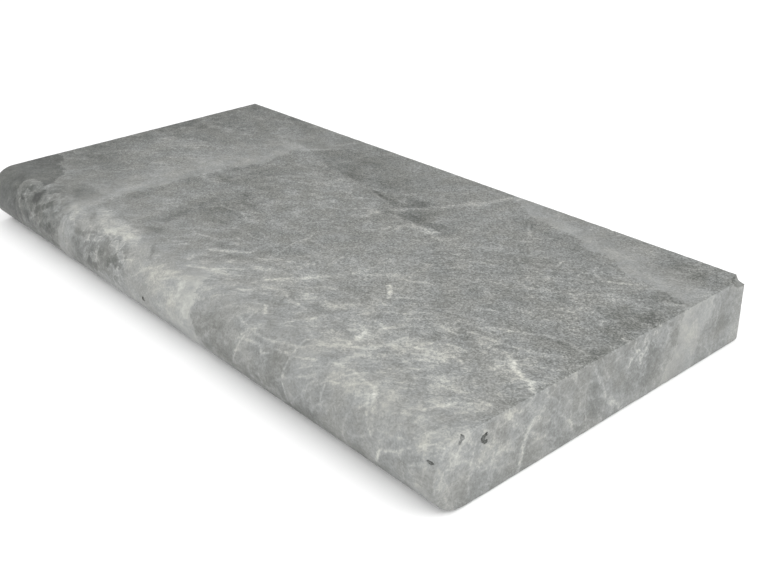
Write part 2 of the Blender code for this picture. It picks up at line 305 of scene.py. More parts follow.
# Pale marks: half width in mm, rise in grey levels, and the points the mark runs through.
# A mark with one point is a spot.
PALE_MARKS = [
    # By the right arris, front.
    (2.0, 44, (445, 114), (451, 109), (458, 102)),
    (2.8, 44, (571, 103), (579, 97), (590, 92), (600, 90), (605, 84)),
    (2.2, 20, (548, 101), (557, 104), (569, 106), (574, 116), (586, 122), (596, 128)),
    (1.8, 21, (531, 107), (548, 111), (561, 113), (574, 117)),
    (1.8, 21, (537, 123), (550, 129), (560, 134), (570, 141), (583, 143), (602, 140)),
    (4.0, 18, (431, 125), (435, 129)), (1.8, 23, (441, 128), (450, 130), (458, 136), (466, 138)),
    (2.2, 14, (498, 86), (508, 93), (514, 100), (524, 105)), (2.0, 18, (523, 69), (537, 69), (547, 71)),
    (1.8, 23, (534, 60), (548, 70)), (1.8, 21, (547, 78), (553, 78), (564, 73)),
    (2.4, 20, (485, 58), (487, 50)), (2.2, 22, (576, 25), (581, 34), (584, 43), (590, 47), (599, 56)),
    (2.4, 24, (538, 20), (544, 14), (551, 7)), (1.6, 18, (500, 20), (516, 22), (530, 20), (538, 20)),
    (1.4, 18, (411, 24), (412, 9)), (1.3, 21, (415, 0), (421, 8), (429, 16)),
    (1.8, 31, (408, 33), (412, 30), (417, 26)), (1.5, 18, (436, 25), (441, 36), (446, 46)),
    (1.2, 23, (454, 8), (466, 9), (478, 12), (488, 15)), (2.0, 12, (456, 33), (468, 28), (478, 26)),
    (2.6, 14, (414, 80), (421, 83)), (2.6, 14, (414, 62), (428, 58)), (2.0, 18, (508, 61), (522, 61)),
    (1.5, 23, (512, 131), (517, 137), (524, 142)), (2.0, 12, (556, 50), (562, 58), (566, 64)),
    (1.6, 18, (580, 14), (580, 20)), (1.8, 18, (400, 54), (415, 50), (431, 50)),
    (1.8, 16, (470, 70), (480, 74), (490, 71)), (1.6, 18, (488, 112), (476, 117), (462, 106)),
    # By the right arris, back.
    (2.4, 22, (574, 219)), (2.0, 20, (579, 223)), (2.8, 22, (527, 222)), (3.2, 22, (513, 203)),
    (2.0, 20, (585, 203)), (2.4, 24, (575, 178)), (2.4, 22, (582, 181)), (1.6, 26, (572, 170)),
    (2.2, 16, (495, 175)), (2.2, 16, (437, 157)), (2.0, 16, (426, 168)), (1.5, 23, (503, 233), (506, 222)),
    (1.3, 18, (502, 206), (504, 192), (508, 182)),
    (1.6, 23, (517, 190), (530, 190), (537, 196), (545, 195), (550, 189)),
    (1.6, 21, (505, 182), (520, 184), (528, 188)),
    (1.8, 23, (527, 241), (532, 233), (544, 228), (553, 233), (562, 238), (568, 243)),
    (2.6, 22, (594, 232), (603, 235)), (1.5, 23, (559, 178), (560, 186), (566, 189), (571, 185)),
    (1.5, 21, (559, 178), (566, 173), (572, 170)), (1.4, 18, (540, 164), (551, 172), (559, 178)),
    (1.6, 36, (604, 172), (610, 171)), (1.5, 18, (461, 248), (471, 258)), (1.5, 16, (443, 262), (457, 250)),
    (2.4, 24, (405, 195), (413, 195)), (1.5, 18, (473, 215), (483, 210)),
    (1.6, 16, (446, 235), (450, 222), (458, 214)),
    # The middle of the top.
    (1.5, 21, (228, 111), (243, 112), (255, 115), (262, 113), (271, 110), (278, 114), (284, 120)),
    (1.5, 16, (255, 117), (262, 122), (271, 126)), (3.0, 14, (282, 127)),
    (1.6, 23, (334, 131), (338, 124), (337, 114), (339, 100)), (2.0, 14, (350, 122), (364, 121)),
    (2.4, 22, (300, 55), (313, 62), (323, 71), (328, 74)),
    (2.0, 18, (340, 73), (346, 76), (354, 82), (366, 88)), (2.0, 14, (362, 70), (373, 74), (386, 73)),
    (2.6, 20, (398, 86), (391, 76), (383, 66), (376, 56)),
    (2.6, 18, (400, 90), (407, 102), (416, 112), (428, 122)), (2.0, 16, (380, 43), (388, 48), (397, 53)),
    (2.0, 16, (374, 33), (382, 38), (386, 34)), (2.0, 12, (316, 30), (324, 33), (336, 40)),
    (1.4, 16, (278, 93), (291, 95), (303, 93), (315, 95)), (1.6, 18, (297, 83), (311, 84)),
    (1.8, 21, (261, 64), (274, 66), (288, 70)), (1.8, 13, (262, 42), (280, 48)),
    (1.6, 16, (341, 97), (346, 86)),
    # The long diagonal vein and the bright marks round it.
    (3.0, 22, (392, 298), (387, 283), (384, 272), (377, 266), (373, 256), (366, 244), (358, 233),
     (354, 225), (345, 214), (336, 204), (334, 192), (335, 182)),
    (5.5, 14, (386, 270), (376, 262)), (4.2, 26, (374, 196), (386, 199), (398, 200)),
    (2.2, 26, (366, 183), (366, 175)), (2.8, 20, (392, 169)), (2.2, 16, (338, 154)), (2.4, 20, (243, 203)),
    (2.4, 20, (301, 208)), (3.0, 24, (290, 186)), (2.2, 18, (325, 196), (333, 192)),
    (2.0, 16, (270, 222), (280, 213)), (2.4, 18, (275, 207), (286, 208)),
    (2.0, 16, (302, 222), (312, 218), (320, 220), (327, 216)), (2.2, 16, (264, 182), (276, 184)),
    (2.2, 18, (238, 174), (248, 170)), (2.0, 12, (210, 183), (221, 187), (232, 191), (241, 195)),
    (2.0, 10, (250, 172), (268, 168), (275, 166)), (2.0, 10, (308, 246), (320, 239), (326, 241)),
    # The left of the top.
    (6.0, 14, (136, 100), (138, 88), (137, 72), (141, 60), (148, 48), (151, 30), (153, 12)),
    (2.8, 14, (153, 142), (165, 136), (178, 138), (190, 144)), (1.6, 18, (174, 109), (182, 105), (187, 98)),
    (1.6, 13, (164, 126), (173, 114)), (3.0, 14, (189, 301), (184, 288), (177, 277), (171, 274)),
    (3.0, 16, (188, 271), (179, 262), (170, 253)), (2.0, 18, (78, 26), (88, 19)),
    (2.6, 10, (10, 15), (26, 14)), (4.0, 12, (105, 200), (115, 206), (128, 210)),
    # The nose.
    (1.4, 21, (425, 16), (418, -4), (412, -20)), (1.3, 18, (400, 14), (418, 10), (440, 9), (465, 16)),
    (1.2, 18, (424, 2), (436, 4), (444, 0), (452, 4)),
    (1.3, 21, (466, 25), (468, 10), (468, -4), (474, -20)), (1.2, 18, (505, 10), (508, -4), (510, -10)),
    (1.3, 21, (560, -22), (566, -12), (580, -5), (592, 4), (602, 10)),
    (1.3, 18, (540, 14), (548, 2), (556, -6)), (1.2, 18, (497, -22), (503, -12), (512, -4)),
    (2.0, 16, (330, 12), (336, 4), (330, -4)), (1.6, 18, (190, 10), (206, 14), (222, 12)),
    (1.4, 18, (60, 16), (66, 4), (78, -2), (92, -8)), (1.4, 18, (84, -14), (98, -4), (112, 4)),
    (2.0, 10, (570, 16), (574, 6), (578, 2)), (1.4, 14, (598, 22), (592, 10), (598, 0), (604, -6)),
    # The right end.
    (2.2, 18, (613, 58), (619, 64), (626, 70), (634, 77)),
    (2.3, 32, (627, 82), (635, 76), (646, 73), (654, 71)),
    (1.2, 15, (620, 55), (632, 49), (650, 44), (659, 41)), (1.3, 15, (620, 34), (634, 29), (650, 28)),
    (1.4, 20, (635, 78), (642, 90), (651, 103)), (1.5, 20, (611, 118), (618, 120)),
    (1.6, 19, (628, 101), (640, 112), (648, 121), (653, 130)), (1.3, 15, (628, 31), (640, 28), (656, 28)),
    (2.2, 9, (628, 54), (644, 48), (657, 44)), (1.5, 20, (612, 137), (624, 142), (632, 147), (641, 151)),
    (2.4, 24, (645, 155), (652, 162), (657, 168)), (1.0, 15, (632, 129), (644, 131), (657, 132)),
    (1.0, 15, (630, 134), (644, 140), (658, 148)), (2.2, 18, (628, 173), (622, 178), (619, 186)),
    (2.4, 22, (624, 187), (622, 192)), (1.4, 20, (626, 206), (629, 211), (624, 215), (617, 216)),
    (1.3, 18, (622, 214), (618, 221), (614, 219)), (1.6, 12, (644, 206), (641, 214)),
    (1.0, 18, (611, 272), (620, 276), (634, 272), (659, 270)),
    (1.2, 15, (613, 104), (622, 106), (630, 104)), (1.4, 15, (611, 62), (616, 70), (613, 78)),
    (1.0, 10, (640, 60), (650, 66), (658, 70)), (1.8, 10, (614, 100), (618, 92), (624, 90)),
    # The back.
    (2.2, 18, (399, 298), (404, 312), (402, 326), (410, 340), (408, 352)),
    (1.6, 14, (188, 300), (194, 316), (190, 330), (198, 348)),
    (1.4, 16, (500, 306), (512, 322), (520, 330), (524, 350)),
    (1.3, 12, (60, 308), (74, 320), (80, 336), (96, 350)),
    (1.6, 14, (288, 310), (298, 322), (300, 338), (312, 352)),
    (1.2, 12, (330, 352), (346, 340), (360, 336), (372, 322)),
    (2.4, 16, (560, 312), (566, 324), (562, 336)), (1.4, 12, (240, 350), (250, 334), (262, 330)),
    (1.3, 12, (120, 306), (128, 322), (140, 330), (146, 348)),
]

# Dark marks, as above, with a fall in grey levels.
DARK_MARKS = [
    (3.4, 26, (247, 28)), (3.0, 16, (343, 13)), (3.6, 16, (377, 190)), (4.0, 14, (346, 117)),
    (1.5, 20, (262, 29), (272, 22), (281, 14)), (2.4, 20, (170, 25), (178, 17)), (2.6, 14, (156, 41)),
    (1.5, 14, (336, 186), (350, 187)), (2.6, 14, (337, 178)), (3.0, 16, (208, 242), (222, 237)),
    (2.2, 20, (300, 226), (309, 223)), (2.4, 12, (322, 123), (332, 122)), (2.0, 30, (612, 1), (616, 3)),
    (2.2, 12, (415, 52), (404, 57)), (3.0, 14, (487, 21), (497, 24)), (2.2, 16, (430, 11), (446, 13)),
    (1.3, 14, (612, 258)),
]

# What the shader reads from the mesh: the patches' sums, then each contact layer's distance and
# change.
PATCH_FIELDS = {
    "tone": PATCHES,
    "wisps": WISP_PATCHES,
    "threads": THREAD_PATCHES,
    "rubble": RUBBLE_PATCHES,
    "seams": SEAM_PATCHES,
}
CONTACT_FIELDS = [(f"contact_{number}", f"change_{number}") for number in (1, 2)]

# Stone colours, as 8-bit colours at grey levels: dark greys are neutral, honed greys are a
# little blue, and the palest stone turns to a warm green white.
STONE_COLOURS = [
    (60, (58, 60, 58)),
    (100, (98, 101, 97)),
    (130, (129, 131, 128)),
    (150, (149, 151, 149)),
    (162, (161, 163, 161)),
    (176, (176, 177, 172)),
    (200, (200, 201, 194)),
    (235, (234, 234, 226)),
]
# What share of white the stone reflects, under lights that show a white wall as more than white.
WHITE_SHARE = 0.66
# The casts that warm and cool the stone from place to place.
WARM_CAST = (1.012, 1.0, 0.980)
COOL_CAST = (0.996, 1.0, 1.006)

# The photograph's view: where the camera stands, how it is turned and its lens.
CAMERA_PLACE = (0.63185, -0.45893, 0.37551)
CAMERA_YAW = math.radians(-49.82)
CAMERA_PITCH = math.radians(26.77)
CAMERA_ROLL = math.radians(-1.69)
CAMERA_LENS = 47.883
SENSOR_WIDTH = 36.0
CLIP_START = 0.01

# The studio: half the floor's side, how far it lies below the slab, its colour and roughness, and
# the surround's strength.
FLOOR_HALF = 6.0
FLOOR_DROP = 0.0002
FLOOR_COLOUR = (0.88, 0.88, 0.88, 1.0)
FLOOR_ROUGHNESS = 0.9
SURROUND_STRENGTH = 1.03
# Soft lights aimed at the origin: name, place, side and power.
LIGHTS = [
    ("front_soft_light", (0.9, -1.6, 1.9), 1.8, 27.0),
    ("right_soft_light", (2.1, 0.3, 1.5), 1.6, 24.0),
]


def ease(share):
    """Clamp to 0..1 and smooth: 3 s^2 - 2 s^3."""
    share = np.clip(share, 0.0, 1.0)
    return share * share * (3.0 - 2.0 * share)


def solid_noise(points, size, seed):
    """Value noise from -1 to 1: random values on a cubic lattice `size` apart, eased between its
    corners."""
    lattice = np.random.default_rng(seed).uniform(-1.0, 1.0, (LATTICE_SIDE,) * 3)
    cells = np.asarray(points) / size
    base = np.floor(cells).astype(int)
    share = ease(cells - base)
    total = np.zeros(len(cells))
    for corner in itertools.product((0, 1), repeat=3):
        weight = np.prod(np.where(corner, share, 1.0 - share), axis=1)
        total += weight * lattice[tuple(((base + corner) % LATTICE_SIDE).T)]
    return total


def section_loop():
    """One turn round the cross-section: the top, the back, the underside and the nose.

    Returns the points (y, z), their outward normals, the points that they shrink to on the
    slab's middle line, and the number that each of those has along the line.
    """
    back, top, radius = HIGH.y, HIGH.z, ARRIS_RADIUS
    row_y = np.linspace(NOSE_CENTRE_Y, back - radius, ROW_STEPS + 1)
    turns = np.linspace(0.0, math.pi / 2, ARRIS_STEPS + 1)[1:]
    side_z = np.linspace(top - radius, radius, BACK_STEPS + 1)[1:]
    nose_turns = np.linspace(0.0, math.pi, NOSE_STEPS + 1)[1:-1]
    sine, cosine = np.sin(turns), np.cos(turns)
    out, down = np.sin(nose_turns), np.cos(nose_turns)
    rows = np.arange(ROW_STEPS + 1)
    runs = [
        (row_y, top, 0.0, 1.0, rows),
        (back - radius + radius * sine, top - radius + radius * cosine, sine, cosine, ROW_STEPS),
        (back, side_z, 1.0, 0.0, ROW_STEPS),
        (back - radius + radius * cosine, radius - radius * sine, cosine, -sine, ROW_STEPS),
        (row_y[-2::-1], 0.0, 0.0, -1.0, rows[-2::-1]),
        (NOSE_CENTRE_Y - NOSE_RADIUS * out, NOSE_RADIUS - NOSE_RADIUS * down, -out, -down, 0),
    ]
    loop = np.concatenate([np.stack(np.broadcast_arrays(*run), axis=-1) for run in runs])
    number = loop[:, 4].astype(int)
    line_y = np.linspace(NOSE_CENTRE_Y, back - NOSE_RADIUS, ROW_STEPS + 1)
    middle = np.stack([line_y[number], np.full(len(loop), NOSE_RADIUS)], axis=1)
    return loop[:, :2], loop[:, 2:4], middle, number


def ring_places():
    """Each ring's place along X, how far it has shrunk towards the middle line, and its normal's X
    part.

    From the left end's middle line the rings grow over the end face, turn the arris on a quarter
    circle, run along the slab, and do the same in reverse at the right end.
    """
    turns = np.linspace(0.0, math.pi / 2, ARRIS_STEPS + 1)[1:]
    sine = np.sin(turns)
    arris = [ARRIS_RADIUS * sine - ARRIS_RADIUS, ARRIS_RADIUS * (1.0 - np.cos(turns)), sine]
    cap = [0.0, np.linspace(ARRIS_RADIUS, NOSE_RADIUS, CAP_STEPS + 1)[1:], 1.0]
    body = [np.linspace(LOW.x + ARRIS_RADIUS, HIGH.x - ARRIS_RADIUS, BODY_STEPS + 1), 0.0, 0.0]
    arris, cap, body = (np.stack(np.broadcast_arrays(*run), axis=1) for run in (arris, cap, body))
    end = np.concatenate([arris, cap]) + (HIGH.x, 0.0, 0.0)
    return np.concatenate([end[::-1] * (-1.0, 1.0, -1.0), body, end])


def wear_depth(points, normals):
    """How far the surface has worn below its true faces: noise of a few sizes, by kind of face.

    The top has a brushed relief, the nose and ends are only faintly wavy, and the arrises, where
    the normal leans between two faces, are worn unevenly.
    """
    up = ease(normals[:, 2] * 2.0 - 1.0)
    relief = np.zeros(len(points))
    for share, layers in ((up, BRUSHED_RELIEF), (1.0, HONED_RELIEF)):
        for size, depth, seed in layers:
            relief += share * depth * (0.5 + 0.5 * solid_noise(points, size, seed))
    lean_x = normals[:, 0] ** 2
    lean_y = normals[:, 1] ** 2 * (points[:, 1] > 0.0)
    lean_z = normals[:, 2] ** 2
    arris = np.clip(4.0 * lean_x * (1.0 - lean_x) + 4.0 * lean_y * lean_z, 0.0, 1.0)
    for size, depth, seed in ARRIS_WEAR:
        relief += arris * depth * np.clip(solid_noise(points, size, seed), 0.0, 1.0)
    return relief


def shell_faces(rows):
    """Quads between each row of point numbers and the next, each row closed on itself. A quad with
    a side that is a single point is a triangle."""
    ahead = np.roll(rows, -1, axis=1)
    quads = np.stack([rows[:-1], rows[1:], ahead[1:], ahead[:-1]], axis=-1).reshape(-1, 4)
    first_shut = quads[:, 0] == quads[:, 3]
    last_shut = quads[:, 1] == quads[:, 2]
    faces = quads[~(first_shut | last_shut)].tolist()
    return faces + quads[first_shut][:, :3].tolist() + quads[last_shut][:, [0, 1, 3]].tolist()


def slab_surface():
    """The slab as one closed surface: rings along X, each a copy of the section loop that shrinks
    towards the middle line by its own share, sunk along the normal by the wear.

    The first and last rings have shrunk to the middle line, where the top's points meet the
    underside's. Returns the vertices and the faces.
    """
    section, section_normals, middle, number = section_loop()
    rings = ring_places()
    x, shrink, lean = (rings[:, column].reshape(-1, 1) for column in range(3))
    share = shrink / NOSE_RADIUS
    level = np.sqrt(1.0 - lean**2)

    points = np.empty((len(rings), len(section), 3))
    normals = np.empty_like(points)
    points[..., 0], normals[..., 0] = x, lean
    for axis in (0, 1):
        points[..., axis + 1] = section[:, axis] + (middle[:, axis] - section[:, axis]) * share
        normals[..., axis + 1] = section_normals[:, axis] * level
    points, normals = points.reshape(-1, 3), normals.reshape(-1, 3)
    points -= normals * wear_depth(points, normals)[:, None]

    index = np.arange(len(points)).reshape(len(rings), len(section))
    first_of_number = np.unique(number, return_index=True)[1]
    for ring in (0, -1):
        index[ring] = index[ring, first_of_number[number]]
    used, renumbered = np.unique(index, return_inverse=True)
    return points[used], shell_faces(renumbered.reshape(index.shape))


def pebble(place, half_sizes, turn_x, roughness, seed, steps=14):
    """A rough pebble that cuts a hollow: a sphere in rings, moved in and out by noise, stretched to
    its half sizes, turned about +X and put in place. Returns its vertices and faces."""
    polar = np.linspace(0.0, math.pi, steps + 1)[1:-1]
    around = np.linspace(0.0, 2.0 * math.pi, 2 * steps, endpoint=False)
    polar, around = np.meshgrid(polar, around, indexing="ij")
    reach = np.sin(polar)
    sphere = np.stack([reach * np.cos(around), reach * np.sin(around), np.cos(polar)], axis=-1)
    sphere = np.concatenate([[[0.0, 0.0, 1.0]], sphere.reshape(-1, 3), [[0.0, 0.0, -1.0]]])
    layers = enumerate(PEBBLE_BUMPS, seed)
    bumps = sum(share * solid_noise(sphere, size, layer_seed) for layer_seed, (size, share) in layers)
    sphere *= (1.0 + roughness * bumps)[:, None]
    turn = np.array(Matrix.Rotation(math.radians(turn_x), 3, "X"))
    points = (sphere * half_sizes) @ turn.T + np.array(place)

    rows = np.empty((steps + 1, 2 * steps), int)
    rows[0], rows[-1] = 0, len(points) - 1
    rows[1:-1] = 1 + np.arange((steps - 1) * 2 * steps).reshape(steps - 1, 2 * steps)
    return points, shell_faces(rows)


def nick_places():
    """Where a nick's pebble stands just outside an arris, and its radius: spread along each arris by
    seeded draws of its share of the way, its radius and its depth."""
    draw = random.Random(NICK_SEED)
    from_x, to_x = LOW.x + NICK_MARGIN, HIGH.x - NICK_MARGIN
    from_y, to_y = NOSE_CENTRE_Y + NICK_MARGIN, HIGH.y - NICK_MARGIN
    lines = []
    for z, rise in ((HIGH.z, 1), (0.0, -1)):
        lines.append(((from_x, HIGH.y, z), (to_x, HIGH.y, z), (0, 1, rise), NICKS_PER_LONG_ARRIS))
        for x, side in ((HIGH.x, 1), (LOW.x, -1)):
            lines.append(((x, from_y, z), (x, to_y, z), (side, 0, rise), NICKS_PER_END_ARRIS))
    for start, end, outward, count in lines:
        start, end = np.array(start), np.array(end)
        outward = np.array(outward) / math.sqrt(2)
        for turn in range(count):
            share = (turn + draw.uniform(*NICK_STRETCH)) / count
            radius = draw.uniform(*NICK_RADIUS)
            depth = draw.uniform(*NICK_DEPTH)
            yield start + (end - start) * share + outward * (radius - depth), radius


def new_mesh(name, points, faces, materials):
    """A mesh object in the scene, smooth shaded, with these materials."""
    mesh = bpy.data.meshes.new(name)
    mesh.from_pydata(points.tolist(), [], faces)
    for material in materials:
        mesh.materials.append(material)
    mesh.polygons.foreach_set("use_smooth", np.ones(len(mesh.polygons), bool))
    mesh.update()
    piece = bpy.data.objects.new(name, mesh)
    bpy.context.scene.collection.objects.link(piece)
    return piece


def cutter(name, pebbles, material):
    """One mesh of pebbles that stand clear of each other."""
    points, faces, count = [], [], 0
    for shell, shell_corners in pebbles:
        points.append(shell)
        faces += [[count + corner for corner in face] for face in shell_corners]
        count += len(shell)
    return new_mesh(name, np.concatenate(points), faces, [material])


def cutters(broken, dirt_and_shade):
    """The hollows' cutters: the spall and the nicks, the voids, and the voids' lobes."""
    bites = [pebble(*SPALL, SPALL_ROUGHNESS, SPALL_SEED, steps=26)]
    for seed, (place, radius) in enumerate(nick_places(), NICK_SHAPE_SEED):
        bites.append(pebble(place, (radius,) * 3, 0, NICK_ROUGHNESS, seed, steps=9))
    voids, lobes = (
        [pebble(*hollow, VOID_ROUGHNESS, seed) for seed, hollow in enumerate(hollows, first)]
        for hollows, first in ((VOIDS, VOID_SEED), (LOBES, LOBE_SEED))
    )
    return [cutter("bites", bites, broken), cutter("voids", voids, dirt_and_shade), cutter("lobes", lobes, dirt_and_shade)]


def read(items, name, kind=float, width=1):
    """One value or row for each of a mesh's items, as an array."""
    values = np.empty(len(items) * width, kind)
    items.foreach_get(name, values)
    return values.reshape(-1, width) if width > 1 else values


def cut_hollows(slab, pieces):
    """Cut the pebbles away, keep the result as the slab's mesh, and drop the cutters."""
    for piece in pieces:
        cut = slab.modifiers.new(piece.name, "BOOLEAN")
        cut.operation = "DIFFERENCE"
        cut.solver = "EXACT"
        cut.object = piece
        cut.material_mode = "TRANSFER"
    bpy.context.view_layer.update()
    evaluated = slab.evaluated_get(bpy.context.evaluated_depsgraph_get())
    mesh = bpy.data.meshes.new_from_object(evaluated)
    mesh.name = slab.name
    drop_loose_corners(mesh)
    slab.modifiers.clear()
    slab.data = mesh
    for piece in pieces:
        bpy.data.objects.remove(piece, do_unlink=True)
    mesh.set_sharp_from_angle(angle=SHARP_ANGLE)


def drop_loose_corners(mesh):
    """Dissolve the points that the cuts leave with only two edges, so that no face is split there
    along an edge that its neighbour already has."""
    edges = read(mesh.edges, "vertices", np.int32, 2)
    loose = np.flatnonzero(np.bincount(edges.ravel(), minlength=len(mesh.vertices)) == 2)
    shape = bmesh.new()
    shape.from_mesh(mesh)
    shape.verts.ensure_lookup_table()
    bmesh.ops.dissolve_verts(shape, verts=[shape.verts[number] for number in loose])
    shape.to_mesh(mesh)
    shape.free()


def unrolled_skin(mesh):
    """Each face corner's place on the unrolled skin and in the slab, in mm, and each face's sheet.

    The top keeps its plan (x from the left end, y from the nose's tip). The nose and then the
    underside go on from it by distance round the section, and the back and each end by depth below
    the top. A face lies in the sheet of whichever true face its middle is nearest to.
    """
    origin = np.array([LOW.x, LOW.y, 0.0]) * MM
    vertex = read(mesh.loops, "vertex_index", np.int32)
    corner = read(mesh.vertices, "co", width=3)[vertex] * MM - origin
    middle = read(mesh.polygons, "center", width=3) * MM - origin

    in_nose = middle[:, 1] < RADIUS_MM
    reach = np.hypot(RADIUS_MM - middle[:, 1], middle[:, 2] - RADIUS_MM)
    flat = np.where(in_nose, np.inf, 0.0)
    gaps = np.stack([
        THICKNESS_MM - middle[:, 2] + flat,
        np.where(in_nose, RADIUS_MM - reach, np.inf),
        WIDTH_MM - middle[:, 1],
        middle[:, 2] + flat,
        LENGTH_MM - middle[:, 0],
        middle[:, 0],
    ])
    sheet = gaps.argmin(axis=0)
    of_corner = np.repeat(sheet, read(mesh.polygons, "loop_total", np.int32))
    x, y, z = corner.T
    arc = RADIUS_MM * np.arctan2(RADIUS_MM - y, z - RADIUS_MM)
    charts = [
        (x, y),
        (x, RADIUS_MM - arc),
        (x, WIDTH_MM + THICKNESS_MM - z),
        (x, (2.0 - math.pi) * RADIUS_MM - y),
        (LENGTH_MM + THICKNESS_MM - z, y),
        (z - THICKNESS_MM, y),
    ]
    chart = np.stack([np.choose(of_corner, places) for places in zip(*charts)], axis=1)
    return chart, corner, sheet


def total_of(patches, chart):
    """The sum of a list of patches: each is its strength inside an ellipse, and eases to 0 over the
    outer share of its radius."""
    total = np.zeros(len(chart))
    for x, y, half_x, half_y, turn, strength, edge in patches:
        offset_x, offset_y = chart[:, 0] - x, chart[:, 1] - y
        cosine, sine = math.cos(math.radians(turn)), math.sin(math.radians(turn))
        across = (offset_x * cosine + offset_y * sine) / half_x
        along = (offset_y * cosine - offset_x * sine) / half_y
        total += strength * ease((1.0 - np.hypot(across, along)) / edge)
    return total


def nearest_contact(chart, layer):
    """How far each place is from its nearest contact, and the change in levels there.

    The distance in mm is positive on a contact's left-hand side. Where two runs of a contact are as
    near, the one that the place stands more squarely beside gives the side. Contacts are compared by
    their distance as a share of the width over which each fades, and the change eases out over it.
    """
    closest = np.full(len(chart), np.inf)
    distance, change = np.zeros(len(chart)), np.zeros(len(chart))
    for rise, fade, *points in layer:
        away = np.full(len(chart), np.inf)
        score = np.full(len(chart), np.inf)
        side = np.zeros(len(chart))
        for start, end in itertools.pairwise(np.array(points, float)):
            run = end - start
            offset = chart - start
            share = np.clip(offset @ run / (run @ run), 0.0, 1.0)
            here = np.hypot(*(offset - share[:, None] * run).T)
            beside = (run[0] * offset[:, 1] - run[1] * offset[:, 0]) / np.hypot(*run)
            here_score = here - BESIDE_WEIGHT * np.abs(beside)
            side = np.where(here_score < score, np.sign(beside), side)
            score = np.minimum(score, here_score)
            away = np.minimum(away, here)
        nearer = away / fade < closest
        closest = np.where(nearer, away / fade, closest)
        distance = np.where(nearer, away * side, distance)
        change = np.where(nearer, rise * ease(1.0 - away / fade), change)
    return distance, change


def paint_skin(slab):
    """Store the unrolled skin as a UV map, and the broad tones and strengths as corner attributes.

    Patches are read at places shifted by noise, so that their edges wander. Each face is given the
    material of its sheet, apart from the broken ones.
    """
    mesh = slab.data
    chart, corner, sheet = unrolled_skin(mesh)
    skin = mesh.uv_layers.new(name="skin")
    skin.uv.foreach_set("vector", (chart / MM).ravel().astype(np.float32))

    wander = np.zeros_like(chart)
    for size, reach, seed in PATCH_WANDER:
        for axis in (0, 1):
            wander[:, axis] += reach * solid_noise(corner, size, seed + axis)
    fields = {name: total_of(patches, chart + wander) for name, patches in PATCH_FIELDS.items()}
    fields["tone"] += TONE_SWING * solid_noise(corner, TONE_SIZE, TONE_SEED)
    for (contact, change), layer in zip(CONTACT_FIELDS, CONTACT_LAYERS):
        fields[contact], fields[change] = nearest_contact(chart, layer)
    for name, values in fields.items():
        attribute = mesh.attributes.new(name, "FLOAT", "CORNER")
        attribute.data.foreach_set("value", values.astype(np.float32))

    kind = read(mesh.polygons, "material_index", np.int32)
    kind = np.where(kind == 0, SHEET_MATERIALS[sheet], kind)
    mesh.polygons.foreach_set("material_index", kind.astype(np.int32))


